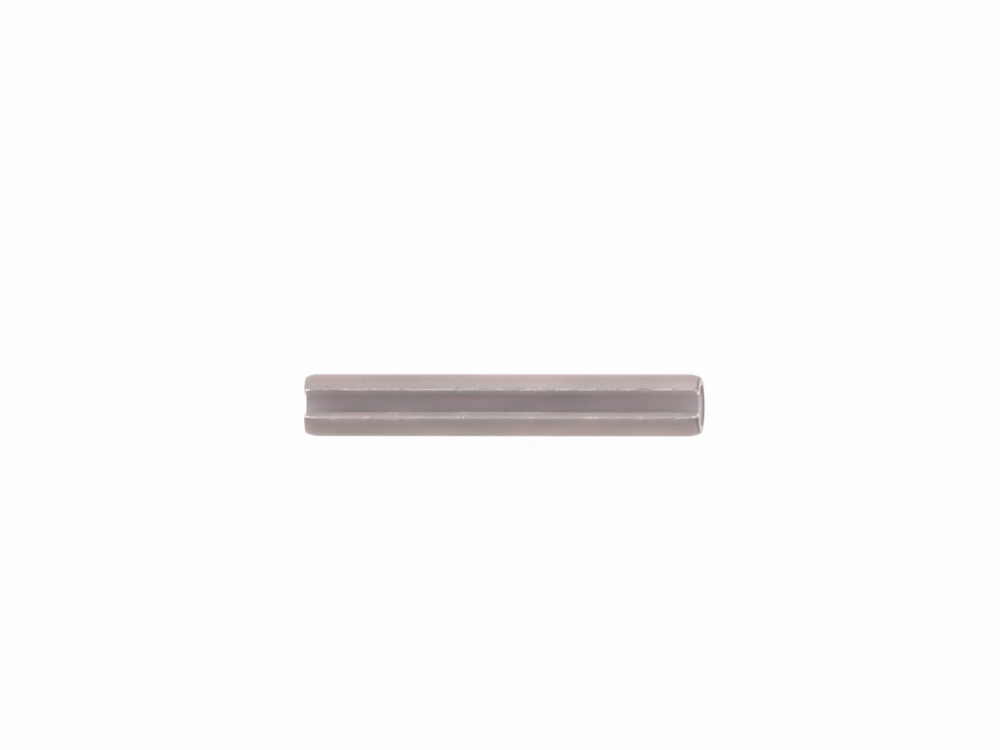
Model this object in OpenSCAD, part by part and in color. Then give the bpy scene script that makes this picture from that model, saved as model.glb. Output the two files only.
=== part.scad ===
// Slotted spring pin (roll pin): one strip of spring steel, rolled lengthwise into an open tube.
// It lies along X with its axis through the origin, and its slot faces +Z. Lengths are in
// millimetres and angles in degrees.

/* [Pin] */
// Length over both ends, along the side opposite the slot
pin_length = 35; // [14:0.5:60]
// Outside diameter of the free pin, before it is driven in
free_diameter = 5.45; // [4.6:0.05:8]
// Thickness of the rolled strip
strip_thickness = 1; // [0.7:0.05:1.3]

/* [Slot] */
// Opening of the slot between its lips, across the outside
slot_opening = 2.38; // [1.2:0.02:3]
// Radius on the outer edges of the slot
outer_edge_radius = 0.15; // [0.05:0.01:0.2]
// Radius on the inner edges of the slot
inner_edge_radius = 0.08; // [0.03:0.01:0.12]
// Radius on the lips' corners at each end
lip_corner_radius = 0.35; // [0.15:0.05:0.6]

/* [Ends] */
// Length of the rounded lead at each end
lead_length = 1.05; // [0.8:0.05:1.4]
// How far the lead draws the end in, on the radius
lead_drop = 0.27; // [0.2:0.01:0.35]
// Slope of the lead where it leaves the shank
lead_entry_angle = 6; // [5:0.5:8]
// Radius between the lead and the end face
end_radius = 0.2; // [0.1:0.01:0.25]
// Width of the broken edge round the bore's rim
rim_edge = 0.1; // [0.05:0.01:0.15]
// Lean of each end face, which leaves the pin shorter along its slot
end_lean = 2.5; // [0:0.5:3]

/* [Hidden] */

$fn = 96;
// How far a cut runs past what it cuts
over = 1;
// How far behind the lead an end form stays wider than the shank
clear_of_lead = 0.15;
// How far a rounding's circle reaches past the faces that it joins, so that it crosses them and is
// never only in touch with them
crossing = 0.001;
outer_radius = free_diameter / 2;
bore_radius = outer_radius - strip_thickness;
slot_half_angle = asin(slot_opening / free_diameter);

// The lead is one arc in outline, and the mean of its two end slopes is the slope of its chord.
lead_tip_angle = 2 * atan(lead_drop / lead_length) - lead_entry_angle;
lead_radius = lead_length / (sin(lead_tip_angle) - sin(lead_entry_angle));
lead_centre = [outer_radius - lead_radius * cos(lead_entry_angle),
               -lead_length - lead_radius * sin(lead_entry_angle)];
// The end radius touches the end face and, from inside, the lead.
end_centre = [lead_centre.x + leg(lead_radius - end_radius, lead_centre.y + end_radius), -end_radius];
// The lead leans with its end face, about the point on the axis where it begins. This is how far that
// moves its middle along the end face, towards the slot.
lead_shift = lead_length * tan(end_lean);
// Where a leaning end face crosses the axis, with its far side still at half the length
end_x = pin_length / 2 - (end_centre.x - lead_shift) * sin(end_lean) - end_radius * (1 - cos(end_lean));

// Leg of a right triangle, from its hypotenuse and other leg
function leg(hypotenuse, other) = sqrt(pow(hypotenuse, 2) - pow(other, 2));
function unit(v) = v / norm(v);

module mirrored(normal) {
    children();
    mirror(normal) children();
}

// What a radius takes off a corner. The circle touches the corner's sides in directions a and b
// from its centre.
module rounding_waste(centre, radius, a, b) {
    difference() {
        polygon([centre, centre + 2 * radius * a, centre + 2 * radius * (a + b), centre + 2 * radius * b]);
        translate(centre) circle(radius + crossing);
    }
}

// Section of the rolled strip, with its slot towards +Y and radial lip faces. Its circles start inside
// the slot, so that no seam runs along the metal.
module strip_section() {
    far = 2 * outer_radius * [sin(slot_half_angle), cos(slot_half_angle)];
    // Centres of the edge radii, with the lip's face turned onto the Y axis and its metal at +X
    outer_edge = [outer_edge_radius, leg(outer_radius - outer_edge_radius, outer_edge_radius)];
    inner_edge = [inner_edge_radius, leg(bore_radius + inner_edge_radius, inner_edge_radius)];
    difference() {
        rotate(90) circle(outer_radius);
        rotate(90) circle(bore_radius);
        polygon([[0, 0], [-far.x, far.y], far]);
        mirrored([1, 0]) rotate(-slot_half_angle) {
            rounding_waste(outer_edge, outer_edge_radius, [-1, 0], unit(outer_edge));
            rounding_waste(inner_edge, inner_edge_radius, [-1, 0], -unit(inner_edge));
        }
    }
}

module rolled_strip() {
    rotate([90, 0, 90])
        linear_extrude(height = pin_length + 2 * over, center = true) strip_section();
}

// Places a form made about the Z axis, with its end face at Z = 0, at the pin's end towards +X. Its +X
// side, where a revolved form has its seam, goes to the slot.
module at_end() {
    translate([end_x, 0, 0]) rotate([0, 90 - end_lean, 0]) rotate(180) children();
}

// What one end's face, radius and lead leave of a bar. The bar is far wider than the shank behind the lead
// and goes on past the pin's other end, so that only this end is shaped.
module end_form() {
    wide = pin_length;
    shaped = lead_length + clear_of_lead;
    translate([lead_shift, 0, 0]) rotate_extrude() difference() {
        translate([0, -2 * pin_length]) square([wide, 2 * pin_length]);
        difference() {
            translate([0, -shaped]) square([wide + over, shaped + over]);
            translate(lead_centre) circle(lead_radius);
        }
        rounding_waste(end_centre, end_radius, [0, 1], unit(end_centre - lead_centre));
    }
}

// Cone that breaks the edge of the bore's rim
module rim_cone() {
    cone = bore_radius + rim_edge;
    rotate_extrude() polygon([[0, -cone], [cone + over, over], [0, over]]);
}

// What the radius takes off the lip's corner at +X and +Y, as a prism along the line where the lip's
// face meets the end face
module lip_corner_waste() {
    backward = atan(tan(end_lean) * cos(slot_half_angle));
    inward = asin(sin(end_lean) * sin(slot_half_angle));
    out_of_end = [cos(inward), -sin(inward)];
    centre = [-lip_corner_radius * (1 - sin(inward)) / cos(inward), lip_corner_radius];
    translate([end_x, 0, 0]) rotate([-slot_half_angle, 0, 0]) rotate([0, -backward, 0])
        translate([0, 0, bore_radius / 2]) linear_extrude(height = outer_radius)
            rounding_waste(centre, lip_corner_radius, out_of_end, [0, -1]);
}

module spring_pin() {
    color([0.72, 0.68, 0.67])
    difference() {
        intersection() {
            rolled_strip();
            at_end() end_form();
            mirror([1, 0, 0]) at_end() end_form();
        }
        mirrored([1, 0, 0]) {
            at_end() rim_cone();
            mirrored([0, 1, 0]) lip_corner_waste();
        }
    }
}

spring_pin();
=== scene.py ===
import math
import random

import bmesh
import bpy
from mathutils import Matrix, Quaternion, Vector


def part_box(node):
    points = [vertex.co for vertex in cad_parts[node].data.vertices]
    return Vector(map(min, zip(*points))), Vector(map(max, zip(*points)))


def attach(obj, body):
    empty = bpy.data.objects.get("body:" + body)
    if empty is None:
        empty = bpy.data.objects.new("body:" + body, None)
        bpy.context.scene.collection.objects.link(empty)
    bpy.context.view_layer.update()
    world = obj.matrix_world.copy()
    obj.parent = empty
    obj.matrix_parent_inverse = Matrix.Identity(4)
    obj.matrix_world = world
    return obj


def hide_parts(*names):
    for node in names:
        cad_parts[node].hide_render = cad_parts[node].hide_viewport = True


bl_info = {
    "name": "Slotted Spring Pin",
    "version": (1, 0, 0),
    "blender": (4, 5, 0),
    "location": "3D View > Sidebar > Spring Pin",
    "description": "Rolls a slotted spring pin from its strip, wears it in and sets up its studio",
    "category": "Object",
}

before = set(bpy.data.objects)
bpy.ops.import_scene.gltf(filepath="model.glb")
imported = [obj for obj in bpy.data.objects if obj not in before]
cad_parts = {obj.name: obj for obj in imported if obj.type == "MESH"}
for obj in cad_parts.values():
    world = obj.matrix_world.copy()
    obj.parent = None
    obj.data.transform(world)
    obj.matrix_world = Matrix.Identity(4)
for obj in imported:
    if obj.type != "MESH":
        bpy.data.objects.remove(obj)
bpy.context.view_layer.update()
LOW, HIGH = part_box("spring_pin")
MM = 0.001

# Nicks in the slot's outer edges, in millimetres: place along the pin, length and depth
NICKS = {
    "+Y": (
        (-12.9, 0.3, 0.04), (-10.4, 0.4, 0.03), (-7.7, 0.3, 0.08), (-5.9, 0.5, 0.03),
        (-3.7, 0.3, 0.08), (-1.5, 0.6, 0.07), (0.5, 0.8, 0.06), (1.9, 0.7, 0.07),
        (3.0, 0.3, 0.09), (5.2, 0.4, 0.04), (7.6, 0.4, 0.08), (8.7, 0.5, 0.06),
        (10.7, 0.4, 0.07), (12.6, 0.5, 0.11), (13.9, 0.4, 0.07),
    ),
    "-Y": (
        (-14.9, 0.3, 0.10), (-12.4, 0.5, 0.05), (-11.2, 0.4, 0.05), (-10.2, 0.3, 0.07),
        (-9.4, 0.4, 0.08), (-8.2, 0.3, 0.05), (-4.1, 0.4, 0.03), (1.6, 0.5, 0.03),
        (12.1, 0.4, 0.06), (13.4, 0.5, 0.04), (15.6, 0.4, 0.06),
    ),
}

# Small dents between the nicks: depth in millimetres, and the share of places that gets one
DENTS = ((0.012, 0.3), (0.025, 0.12), (0.04, 0.05))

# The -Y lip's inner edge stands up a little, in millimetres, and carries burrs: where each
# starts and ends, how high their spots are and the share of places that gets one
RAISED_EDGE = 0.09
BURRS = ((-10.1, -9.1), (-3.9, 3.8))
BURR_SPOTS = (0.02, 0.04, 0.05)
BURR_SHARE = 0.3

# The painted shade and highlight at the +X end: how much of its colour the dark line, the dark
# band at the bore's end and the bright patch each take
LINE_SHARE, BORE_END_SHADE_SHARE, MOUTH_SHARE = 0.45, 0.3, 0.8

# Painted light and shade: how much brighter the +Y side gets from mid-length to +X, and how
# much darker the bore at -X
PAINTED_LIGHT_SIDE, PAINTED_SHADE_BORE = 0.065, 0.09

# The lamps off the pin's ends: name, place in metres and how bright each is
LAMPS = (("lamp_right", (0.7, 0.0, 0.2), 1.0), ("lamp_left", (-0.7, 0.1, 0.2), 1.6))
LAMP_SIZE = 0.12
FLOOR_SIZE = 3.0


def length(name, description, default):
    return bpy.props.FloatProperty(
        name=name, description=description, default=default, min=0.0, unit="LENGTH",
        subtype="DISTANCE", precision=5,
    )


def angle(name, description, degrees):
    return bpy.props.FloatProperty(
        name=name, description=description, default=math.radians(degrees), subtype="ANGLE"
    )


def share(name, description, default, high=1.0):
    return bpy.props.FloatProperty(
        name=name, description=description, default=default, min=0.0, max=high, subtype="FACTOR"
    )


def colour(name, description, default):
    return bpy.props.FloatVectorProperty(
        name=name, description=description, default=default, min=0.0, max=1.0, size=3,
        subtype="COLOR",
    )


class PinSizes(bpy.types.PropertyGroup):
    """Sizes of the rolled pin"""

    pin_length: length("Length", "Length along the side opposite the slot", HIGH.x - LOW.x)
    diameter: length("Diameter", "Outside diameter of the free pin", HIGH.y - LOW.y)
    thickness: length("Thickness", "Thickness of the strip", 1.0 * MM)
    slot_opening: length("Slot opening", "Opening between the lips, on the outside", 2.38 * MM)
    outer_edge: length("Outer edge", "Radius on the slot's outer edges", 0.15 * MM)
    inner_edge: length("Inner edge", "Radius on the slot's inner edges", 0.08 * MM)
    lip_corner: length("Lip corner", "Radius on the lips' corners at each end, outside", 0.35 * MM)
    lip_corner_inside: length("Lip corner inside", "The same radius at the bore", 0.15 * MM)
    lead_length: length("Lead", "Length of the rounded lead at each end", 1.05 * MM)
    lead_drop: length("Lead drop", "How far the lead draws the end in", 0.27 * MM)
    end_edge: length("End edge", "Radius between the lead and the end face", 0.2 * MM)
    rim_edge: length("Rim edge", "Radius on the bore's rim", 0.1 * MM)
    end_lean: angle("End lean", "Lean of each end face towards the slot's middle", 2.5)


class PinFinish(bpy.types.PropertyGroup):
    """Colours and wear of the spring steel, with its painted highlight and shade colours"""

    steel: colour("Outside", "Colour of the tumbled outside", (0.58, 0.50, 0.482))
    bore: colour("Bore", "Colour of the bore", (0.71, 0.645, 0.655))
    cut: colour("Lips", "Colour of the lips' cut faces", (0.61, 0.532, 0.538))
    # The end faces' darker colour is partly the dull sheared steel and partly painted shade
    sheared: colour("End faces", "Colour of the sheared end faces", (0.42, 0.37, 0.37))
    roughness: share("Roughness", "How dull the outside is", 0.65)
    dullness: share("Inner roughness", "How dull the bore and the lips are", 0.65)
    inner_metal: share("Inner shine", "How metallic the bore and the lips are", 0.35)
    oil: share("Oil film", "How much oil is left on the steel", 0.9)
    # The rubbed edges' brighter colour is partly wear and partly a painted highlight
    wear_and_highlight: colour("Worn edge", "Colour of the rubbed edges", (0.77, 0.665, 0.655))
    # The polished colour is near white: a painted highlight on corners, end faces and the +X
    # bore's bright patch
    polished: colour("Polished corner", "Colour of the polished corners", (1.0, 0.97, 0.965))
    # The scale colour is painted shade, for the dark line and the dark band at the +X end
    scale: colour("Scale", "Colour of the dark marks at the +X end", (0.22, 0.19, 0.185))
    gloss: share("Worn roughness", "How dull the rubbed edges are", 0.22)
    mottling: share("Mottling", "How uneven the steel's colour is", 0.6)
    grain: share("Grain", "How deep the drawn grain and the pits are", 0.5)


class StudioSettings(bpy.types.PropertyGroup):
    """Camera, lights and floor"""

    distance: length("Camera distance", "From the camera to the pin", 1.6)
    across: length("View width", "Width that the camera shows at the pin", 87.5 * MM)
    to_end: angle("Turn to the end", "How far the camera looks in at the +X end", 5.0)
    to_side: angle("Turn to the side", "How far the camera stands towards -Y", 3.4)
    roll: angle("Camera roll", "How far the view's top is turned to the left", 0.04)
    aside: length("Camera aside", "From the pin's middle to the view's, to the left", 0.29 * MM)
    above: length("Camera above", "From the pin's middle to the view's, upwards", 2.64 * MM)
    room: share("Room light", "Strength of the light from the sides of the room", 0.475, 2.0)
    ceiling: share("Ceiling", "How much light from overhead is added", 0.56, 2.0)
    slant: share("Light's slant", "How much more light comes from +Y than from -Y", 0.65)
    dark_end: share("Dark end", "How much darker the room is beyond the +X end", 0.5)
    lamps: share("End lamps", "Brightness of the lamps off the pin's ends", 9.0, 20.0)


def only(obj):
    """Selects one object alone and makes it active."""
    bpy.ops.object.select_all(action="DESELECT")
    obj.select_set(True)
    bpy.context.view_layer.objects.active = obj


def pick(kind, test):
    """Selects what passes a test on its corners, in the mesh in edit mode. Returns how many."""
    data = bpy.context.object.data
    bpy.ops.mesh.select_mode(type=kind)
    bpy.ops.mesh.select_all(action="DESELECT")
    mesh = bmesh.from_edit_mesh(data)
    items = {"VERT": mesh.verts, "EDGE": mesh.edges}[kind]
    for item in items:
        corners = [item] if kind == "VERT" else item.verts
        if test([corner.co for corner in corners]):
            item.select_set(True)
    mesh.select_flush_mode()
    bmesh.update_edit_mesh(data)
    return sum(item.select for item in items)


def cut_across(axis, places):
    """Cuts the mesh in edit mode across an axis, at each place along it."""
    normal = [float(i == axis) for i in range(3)]
    for place in places:
        bpy.ops.mesh.select_all(action="SELECT")
        bpy.ops.mesh.bisect(plane_co=[place * n for n in normal], plane_no=normal)


def evenly(half, pitch):
    """Places from -half to half, about a pitch apart, with one in the middle."""
    count = 2 * round(half / pitch)
    return [half * (2 * i / count - 1) for i in range(count + 1)]


def apply_modifier(obj, kind, **settings):
    """Adds a modifier to the active object and applies it."""
    bpy.ops.object.modifier_add(type=kind)
    modifier = obj.modifiers[-1]
    for name, value in settings.items():
        setattr(modifier, name, value)
    bpy.ops.object.modifier_apply(modifier=modifier.name)


def apply_place():
    """Puts the selected object's place and turn in its mesh."""
    bpy.ops.object.transform_apply(location=True, rotation=True, scale=True)


class SPRINGPIN_OT_roll(bpy.types.Operator):
    """Cuts the strip, breaks its edges and rolls it lengthwise into the pin"""

    bl_idname = "springpin.roll"
    bl_label = "Roll the pin"
    bl_options = {"REGISTER", "UNDO"}

    def execute(self, context):
        size = context.scene.pin_sizes
        outer = size.diameter / 2
        middle = outer - size.thickness / 2
        turn = 2 * (math.pi - math.asin(size.slot_opening / size.diameter))
        width = middle * turn
        pin = self.cut_strip(size, width)
        self.break_edges(pin, size, width)
        self.nick_edges(size, width)
        self.roll(pin, size, middle, turn)
        return {"FINISHED"}

    def cut_strip(self, size, width):
        """The flat strip lies along X, as wide as Z, with its later outside at -Y."""
        bpy.ops.object.select_all(action="DESELECT")
        bpy.ops.mesh.primitive_cube_add(size=1, scale=(size.pin_length, size.thickness, width))
        pin = bpy.context.object
        pin.name = pin.data.name = "rolled_pin"
        apply_place()
        bpy.ops.object.mode_set(mode="EDIT")
        pick("EDGE", lambda c: abs(c[0].y - c[1].y) > size.thickness / 2)
        bpy.ops.mesh.bevel(
            offset=size.lip_corner, segments=8, affect="EDGES", clamp_overlap=False
        )
        self.narrow_corners(size, width)
        clear = size.lip_corner + 0.05 * MM
        pitch_across, pitch_along = 0.26 * MM, 0.1 * MM
        cut_across(2, evenly(width / 2 - clear, pitch_across))
        cut_across(0, evenly(size.pin_length / 2 - clear, pitch_along))
        self.draw_in_leads(size)
        bpy.ops.object.mode_set(mode="OBJECT")
        return pin

    def narrow_corners(self, size, width):
        """Leaves less of each lip corner's radius at the bore than outside."""
        hair = 0.002 * MM
        less = size.lip_corner_inside / size.lip_corner
        for x in (-size.pin_length / 2, size.pin_length / 2):
            for z in (-width / 2, width / 2):
                pick("VERT", lambda c: c[0].y > 0 and max(
                    abs(c[0].x - x), abs(c[0].z - z)) < size.lip_corner + hair)
                bpy.ops.transform.resize(value=(less, 1, less), center_override=(x, 0, z))

    def draw_in_leads(self, size):
        """The outside slopes in towards each end, the steeper the nearer."""
        hair = 0.001 * MM
        pick("VERT", lambda c: c[0].y > 0)
        bpy.ops.mesh.hide()
        pick("VERT", lambda c: abs(c[0].x) > size.pin_length / 2 - hair)
        for part, falloff in ((0.4, "LINEAR"), (0.6, "SHARP")):
            bpy.ops.transform.translate(
                value=(0, part * size.lead_drop, 0), use_proportional_edit=True,
                proportional_edit_falloff=falloff, proportional_size=size.lead_length,
            )
        bpy.ops.mesh.reveal(select=False)

    def break_edges(self, pin, size, width):
        """Rounds the strip's outline, on the outside and inside, by bevel weights."""
        hair, near_slot = 0.002 * MM, 0.15 * MM
        half_x, half_z = size.pin_length / 2, width / 2

        def at_end(co):
            return abs(co.x) > half_x - hair

        def corner_radius(co):
            return size.lip_corner if co.y < 0 else size.lip_corner_inside

        def at_slot(co):
            long = half_x - corner_radius(co) + hair
            return abs(co.z) > half_z - near_slot and abs(co.x) < long

        def on_corner(co):
            radius = corner_radius(co)
            place = Vector((abs(co.x) - half_x + radius, abs(co.z) - half_z + radius))
            return min(place) > -hair and abs(place.length - radius) < hair

        bpy.ops.object.mode_set(mode="EDIT")
        widest = size.end_edge
        for side, end, slot in (
            (-1, size.end_edge, size.outer_edge), (1, size.rim_edge, size.inner_edge)
        ):
            for radius, place in (((end + slot) / 2, on_corner), (end, at_end), (slot, at_slot)):
                pick("EDGE", lambda c: all(side * v.y > 0 and place(v) for v in c))
                bpy.ops.transform.edge_bevelweight(value=-1)
                bpy.ops.transform.edge_bevelweight(value=radius / widest)
        bpy.ops.object.mode_set(mode="OBJECT")
        apply_modifier(
            pin, "BEVEL", limit_method="WEIGHT", width=widest, segments=5,
            use_clamp_overlap=False,
        )

    def nick_edges(self, size, width):
        """Dents the slot's outer edges, roughens them in between and raises burrs at the bore."""
        chance = random.Random(8)
        rough_half, raised_half = 16, 16.7
        nick_reach, edge_reach = 0.15, 0.12

        def push(side, outside, move, reach, test):
            """Moves the crest of a slot edge, in millimetres, where its places pass a test."""
            lip = {"+Y": -1, "-Y": 1}[side]
            crest = (size.outer_edge if outside else size.inner_edge) * 0.55
            if pick("VERT", lambda c: (c[0].y < 0) == outside
                    and abs(c[0].y) > size.thickness / 2 - crest
                    and lip * c[0].z > width / 2 - crest and test(c[0].x / MM)):
                bpy.ops.transform.translate(
                    value=(0, move[0] * MM, -lip * move[1] * MM), use_proportional_edit=True,
                    proportional_edit_falloff="SMOOTH", proportional_size=reach * MM,
                )

        bpy.ops.object.mode_set(mode="EDIT")
        for side, nicks in NICKS.items():
            for place, long, deep in nicks:
                push(side, True, (0.6 * deep, 0.6 * deep), nick_reach,
                     lambda x: abs(x - place) < long / 2)
            for deep, often in DENTS:
                push(side, True, (0.7 * deep, deep), edge_reach,
                     lambda x: abs(x) < rough_half and chance.random() < often)
        push("-Y", False, (0, -RAISED_EDGE), edge_reach, lambda x: abs(x) < raised_half)
        for start, end in BURRS:
            for high in BURR_SPOTS:
                push("-Y", False, (-0.5 * high, -high), edge_reach,
                     lambda x: start < x < end and chance.random() < BURR_SHARE)
        bpy.ops.object.mode_set(mode="OBJECT")

    def roll(self, pin, size, middle, turn):
        """Rolls the strip about the X axis with its slot up, then leans its ends."""
        only(pin)
        with_burrs = pin.dimensions.z / (middle * turn)
        apply_modifier(
            pin, "SIMPLE_DEFORM", deform_method="BEND", deform_axis="X", angle=turn * with_burrs
        )
        bpy.ops.transform.translate(value=(0, -middle, 0))
        apply_place()
        bpy.ops.transform.rotate(
            value=math.radians(-90), orient_axis="X", center_override=(0, 0, 0)
        )
        far_side = size.diameter / 2 - size.lead_drop - size.end_edge
        bpy.ops.transform.translate(value=(0, 0, far_side))
        apply_place()
        height = pin.dimensions.z
        apply_modifier(
            pin, "SIMPLE_DEFORM", deform_method="TAPER", deform_axis="Z", lock_y=True,
            factor=-math.tan(size.end_lean) * height / (size.pin_length / 2),
        )
        bpy.ops.transform.translate(value=(0, 0, -far_side))
        apply_place()
        bpy.ops.object.shade_smooth()
        apply_modifier(pin, "WEIGHTED_NORMAL", weight=70)
        pin.data.materials.append(spring_steel(bpy.context.scene.pin_finish, size))
        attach(pin, "root")
        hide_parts("spring_pin")


class Value:
    """A shader socket that can be used in sums. Each sum adds its Math node."""

    def __init__(self, tree, socket):
        self.tree, self.socket = tree, socket

    def math(self, operation, *others):
        """Adds a Math node on this value and others."""
        node = self.tree.nodes.new("ShaderNodeMath")
        node.operation = operation
        for socket, value in zip(node.inputs, (self, *others)):
            join(self.tree, value, socket)
        return Value(self.tree, node.outputs[0])

    def __add__(self, other):
        return self.math("ADD", other)

    def __sub__(self, other):
        return self.math("SUBTRACT", other)

    def __mul__(self, other):
        return self.math("MULTIPLY", other)

    def __pow__(self, other):
        return self.math("POWER", other)

    def __radd__(self, other):
        return self + other

    def __rmul__(self, other):
        return self * other

    def __rsub__(self, other):
        return -1 * self + other

    def __abs__(self):
        return self.math("ABSOLUTE")


def join(tree, value, socket):
    """Links a value to a socket, or writes a plain number or colour in it."""
    if isinstance(value, Value):
        tree.links.new(value.socket, socket)
    else:
        socket.default_value = value


class Shader:
    """A material or world being built, node by node."""

    def __init__(self, owner):
        owner.use_nodes = True
        self.tree = owner.node_tree
        self.tree.nodes.clear()

    def node(self, kind, *values, settings=None, output=0, **named):
        """Adds a node: its settings first, then its sockets, in order or by name."""
        node = self.tree.nodes.new("ShaderNode" + kind)
        for name, value in (settings or {}).items():
            setattr(node, name, value)
        sockets = [socket for socket in node.inputs if socket.enabled]
        by_name = {socket.name.lower().replace(" ", "_"): socket for socket in sockets}
        for socket, value in zip(sockets, values):
            join(self.tree, value, socket)
        for name, value in named.items():
            join(self.tree, value, by_name[name])
        return Value(self.tree, node.outputs[output]) if node.outputs else None

    def split(self, vector):
        """The three parts of a vector."""
        return [self.node("SeparateXYZ", vector, output=part) for part in "XYZ"]

    def between(self, value, low, high):
        """Rises smoothly from 0 at low to 1 at high."""
        smooth = {"interpolation_type": "SMOOTHSTEP"}
        return self.node("MapRange", value, low, high, 0.0, 1.0, settings=smooth)

    def where(self, *limits):
        """A mask from limits: each a value, and where it starts and is full, in millimetres."""
        shares = [self.between(value, start * MM, full * MM) for value, start, full in limits]
        return math.prod(shares[1:], start=shares[0])

    def noise(self, vector, scale, detail):
        """Cloudy noise from 0 to 1, with about as many blobs in a metre as the scale."""
        return self.node("TexNoise", vector=vector, scale=scale, detail=detail)

    def tinted(self, colour, red, green, blue):
        """A colour with its red, green and blue each multiplied by a number."""
        by = self.node("CombineXYZ", red, green, blue)
        return self.node("VectorMath", colour, by, settings={"operation": "MULTIPLY"})

    def blend(self, share, first, second):
        """Colours blended by a share: the second's."""
        return self.node("Mix", share, first, second, settings={"data_type": "RGBA"}, output=2)


class SteelPlaces:
    """Where a point of the steel lies on the pin, and which of its surfaces it is on."""

    def __init__(self, shader, size):
        self.place = shader.node("TexCoord", output="Object")
        self.drawn = shader.node("Mapping", vector=self.place, scale=(0.35, 1, 1))
        self.x, self.y, self.z = x, y, z = shader.split(self.place)
        outer = size.diameter / 2
        half_slot = math.asin(size.slot_opening / size.diameter)
        radius = (y ** 2 + z ** 2) ** 0.5
        above_bore = radius - (outer - size.thickness)
        self.below = outer - radius
        self.from_lip = abs(y) * math.cos(half_slot) - z * math.sin(half_slot)
        self.from_end = size.pin_length / 2 - abs(x) - (z + outer) * math.tan(size.end_lean)
        self.along = x * (2 / size.pin_length)
        self.upper = shader.where((z, 0, 0.2))
        self.right = shader.where((x, 0, 1))
        self.lips = shader.where((self.from_lip, 0.12, 0.02)) * self.upper
        self.bore = shader.where((above_bore, 0.12, 0.02))
        self.inner = self.lips.math("MAXIMUM", self.bore)
        self.face = shader.where((self.from_end, 0.05, 0.02))


def rubbed_and_highlit_edges(shader, at):
    """Rubbed wear and painted highlight dashes along the slot's outer edges, more of them on the
    +Y one.
    """
    edge = shader.where((at.from_lip, 0.15, 0.09), (at.below, 0.19, 0.11)) * at.upper
    dash_breakup = 0.5 * shader.noise(at.drawn, 2200, 2) + 0.5 * shader.noise(at.place, 5000, 1)
    return edge * shader.between(dash_breakup + 40 * at.y, 0.48, 0.6)


def polished_highlight_corners(shader, at):
    """Painted highlight spots on the lips' corners at each end, a little nearer the end where x
    and y have the same sign.
    """
    same_sign = shader.between(at.x * at.y, 0.0, MM ** 2)
    from_end = at.from_end + 0.11 * MM * same_sign
    return at.upper * shader.where(
        (at.from_lip, 0.2, 0.12), (from_end, 0.5, 0.43), (from_end, 0.05, 0.1),
        (at.below, 0.3, 0.2),
    )


def polished_highlight_face(shader, at, broad):
    """Polish with a painted highlight on the upper part of each end face and the bore's rim, with
    an uneven lower limit.
    """
    height = at.z + 3 * MM * (broad - 0.5)
    return shader.where((at.from_end, 0.18, 0.1), (at.below, 0.35, 0.45), (height, -0.3, 0.6))


def painted_end_shade_and_highlight(shader, at, finish, colour):
    """Painted shade: the dark line behind the +X face's edge and the dark band at its bore's end;
    painted highlight: the bright patch in its bore.
    """
    line = at.right * (1 - at.inner) * shader.where(
        (at.from_end, 0.24, 0.17), (at.below, 0.6, 0.5), (abs(at.z), 0.3, 0.9))
    low = at.bore * at.right * shader.where((at.z, 0, -0.6))
    mouth = low * shader.where((at.from_end, 0.52, 0.4), (at.from_end, 0.14, 0.26))
    painted_shade_at_bore_end = low * shader.where((at.from_end, 0.16, 0.09))
    colour = shader.blend(LINE_SHARE * line + BORE_END_SHADE_SHARE * painted_shade_at_bore_end, colour, (*finish.scale, 1))
    return shader.blend(MOUTH_SHARE * mouth, colour, (*finish.polished, 1))


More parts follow.
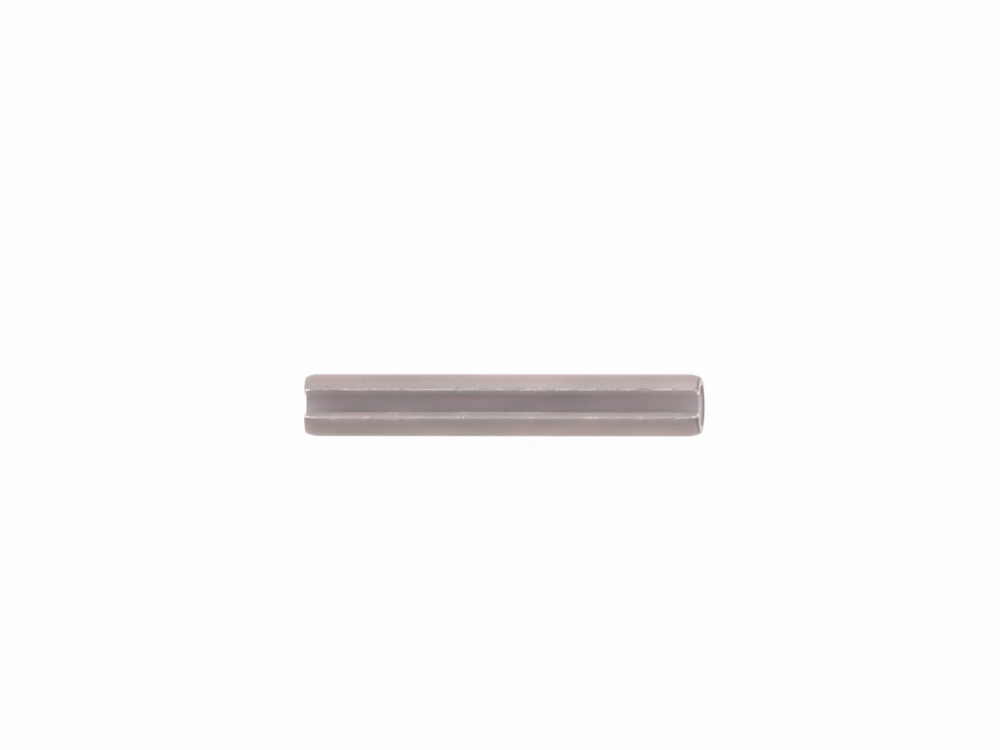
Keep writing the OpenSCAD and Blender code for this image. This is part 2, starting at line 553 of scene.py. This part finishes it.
def spring_steel(finish, size):
    """Satin outside, matt bore and lips, rubbed edges, with mottling, drawn grain and pits,
    painted highlights on edges, corners and end faces, painted shade at the ends and painted light
    on the +Y side.
    """
    steel = bpy.data.materials.new("spring_steel")
    shader = Shader(steel)
    at = SteelPlaces(shader, size)

    slow = shader.noise(at.drawn, 300, 1)
    broad = shader.noise(at.drawn, 650, 4)
    tint = shader.noise(at.drawn, 520, 3)
    fine = shader.noise(at.drawn, 5200, 4)
    streaks = shader.noise(at.drawn, 1500, 3)
    pitted = shader.between(shader.noise(at.place, 3000, 2), 0.66, 0.74)

    # Polish on the corners and end faces, coloured near white as a painted highlight
    face_polish_and_highlight = polished_highlight_face(shader, at, broad)
    polished = face_polish_and_highlight.math("MAXIMUM", polished_highlight_corners(shader, at))
    # Rubbed edges and polished places together: partly wear, partly painted highlight
    wear_and_highlight = rubbed_and_highlit_edges(shader, at).math("MAXIMUM", polished)
    colour = shader.blend(at.bore, (*finish.steel, 1), (*finish.bore, 1))
    colour = shader.blend(at.lips, colour, (*finish.cut, 1))
    # End faces darker: partly their own colour, partly painted shade
    colour = shader.blend(at.face, colour, (*finish.sheared, 1))
    # Painted shade and highlight at the +X end
    colour = painted_end_shade_and_highlight(shader, at, finish, colour)
    colour = shader.blend(wear_and_highlight, colour, (*finish.wear_and_highlight, 1))
    colour = shader.blend(polished, colour, (*finish.polished, 1))

    # Painted light on the +Y side towards +X and painted shade in the bore towards -X, over the
    # mottling
    painted_side_light = PAINTED_LIGHT_SIDE * at.along * shader.where((at.y, 0, 1)) * (1 - at.inner)
    darker = PAINTED_SHADE_BORE * at.bore * shader.where((at.x, -8, -13))
    uneven = 1 + painted_side_light - darker + finish.mottling * (
        0.6 * (slow - 0.5) + 0.4 * (broad - 0.5) + 0.15 * (fine - 0.5) - 0.12 * pitted)
    pinkish = finish.mottling * 0.24 * (tint - 0.5)
    colour = shader.tinted(colour, uneven + pinkish, uneven - pinkish, uneven)

    ends = shader.where((at.from_end, 0.6, 0.3)) * (1 - at.bore)
    rough = finish.roughness + at.inner * (finish.dullness - finish.roughness) - 0.1 * ends
    rough = rough + (finish.gloss - rough) * wear_and_highlight + 0.12 * (broad - 0.5) + 0.1 * pitted
    grain = 0.6 * fine + 0.4 * streaks - 0.5 * pitted
    smoothed = (grain - 0.5) * (1 - 0.7 * face_polish_and_highlight)
    bump = shader.node("Bump", strength=finish.grain, distance=0.02 * MM, height=smoothed)
    skin = shader.node(
        "BsdfPrincipled", base_color=colour, roughness=rough, normal=bump,
        metallic=1 - (1 - finish.inner_metal) * at.inner,
        coat_weight=finish.oil * (1 - at.inner), coat_roughness=0.15,
        sheen_weight=1.0, sheen_roughness=0.3, sheen_tint=(1, 0.93, 0.93, 1),
    )
    shader.node("OutputMaterial", surface=skin)
    return steel


class SPRINGPIN_OT_studio(bpy.types.Operator):
    """Sets the pin on a pale floor, with soft light and a camera that looks down on the slot"""

    bl_idname = "springpin.studio"
    bl_label = "Set up the studio"
    bl_options = {"REGISTER", "UNDO"}

    def execute(self, context):
        studio = context.scene.pin_studio
        self.floor()
        self.light(studio)
        self.camera(context, studio)
        context.scene.view_settings.view_transform = "Standard"
        return {"FINISHED"}

    def floor(self):
        """White paper to the camera, and a little pinkish in the light that it gives back."""
        bpy.ops.object.select_all(action="DESELECT")
        bpy.ops.mesh.primitive_plane_add(size=FLOOR_SIZE, location=(0, 0, LOW.z))
        floor = bpy.context.object
        floor.name = "floor"
        paper = bpy.data.materials.new("white_paper")
        shader = Shader(paper)
        camera, glossy, through = (
            shader.node("LightPath", output=name)
            for name in ("Is Camera Ray", "Is Glossy Ray", "Is Transmission Ray")
        )
        white_share = 0.96 * camera + 0.2 * (glossy + through)
        matt = shader.node("BsdfDiffuse", color=(0.89, 0.824, 0.824, 1))
        tone = shader.blend(camera, (1, 0.92, 0.92, 1), (1, 1, 1, 1))
        white = shader.node("Emission", color=tone, strength=1.0)
        shader.node("OutputMaterial", surface=shader.node("MixShader", white_share, matt, white))
        floor.data.materials.append(paper)

    def light(self, studio):
        """A bright room, with more light from +Y, and a soft lamp off each end of the pin."""
        world = bpy.data.worlds.new("soft_room")
        bpy.context.scene.world = world
        shader = Shader(world)
        x, y, z = shader.split(shader.node("TexCoord", output="Generated"))
        overhead = shader.between(z, 0.6, 0.88)
        strength = studio.room + studio.slant * shader.between(y, -0.1, 0.9) * (1 - overhead)
        strength = strength + studio.ceiling * overhead
        strength = strength * (1 - studio.dark_end * shader.between(x, 0.35, 0.75))
        sky = shader.node("Background", color=(1, 1, 1, 1), strength=strength)
        shader.node("OutputWorld", surface=sky)
        for name, place, brightness in LAMPS:
            bpy.ops.object.light_add(type="AREA", location=place)
            lamp = bpy.context.object
            lamp.name = name
            lamp.data.size = LAMP_SIZE
            lamp.data.energy = brightness * studio.lamps * math.pi * LAMP_SIZE ** 2
            lamp.rotation_euler = (-Vector(place)).to_track_quat("-Z", "Y").to_euler()

    def camera(self, context, studio):
        """Looks down on the slot, turned a little to the +X end and towards -Y."""
        view = Vector((math.sin(studio.to_end), -math.sin(studio.to_side), 0))
        view.z = math.sqrt(1 - view.length_squared)
        bpy.ops.object.camera_add(location=view * studio.distance)
        camera = bpy.context.object
        camera.name = "camera"
        level = view.cross(Vector((1, 0, 0))).normalized()
        up = Quaternion(view, studio.roll) @ level
        right = up.cross(view)
        camera.matrix_world = Matrix((right, up, view)).transposed().to_4x4()
        middle = up * studio.above - right * studio.aside
        camera.matrix_world.translation = middle + view * studio.distance
        lens = camera.data
        lens.sensor_width = 36
        lens.lens = lens.sensor_width * studio.distance / studio.across
        lens.clip_start, lens.clip_end = 0.1, 10
        context.scene.camera = camera


class SPRINGPIN_PT_panel(bpy.types.Panel):
    """Sizes, finish and studio of the pin, with a button for each step"""

    bl_idname = "SPRINGPIN_PT_panel"
    bl_label = "Spring Pin"
    bl_space_type = "VIEW_3D"
    bl_region_type = "UI"
    bl_category = "Spring Pin"

    def draw(self, context):
        for group in ("pin_sizes", "pin_finish", "pin_studio"):
            box = self.layout.box()
            settings = getattr(context.scene, group)
            for name in settings.__annotations__:
                box.prop(settings, name)
        for operator in OPERATORS:
            self.layout.operator(operator.bl_idname)


GROUPS = {"pin_sizes": PinSizes, "pin_finish": PinFinish, "pin_studio": StudioSettings}
OPERATORS = (SPRINGPIN_OT_roll, SPRINGPIN_OT_studio)
CLASSES = (*GROUPS.values(), *OPERATORS, SPRINGPIN_PT_panel)


def register():
    for cls in CLASSES:
        bpy.utils.register_class(cls)
    for name, group in GROUPS.items():
        setattr(bpy.types.Scene, name, bpy.props.PointerProperty(type=group))


def unregister():
    for name in GROUPS:
        delattr(bpy.types.Scene, name)
    for cls in reversed(CLASSES):
        bpy.utils.unregister_class(cls)


def main():
    register()
    bpy.ops.springpin.roll()
    bpy.ops.springpin.studio()


if __name__ == "__main__":
    main()
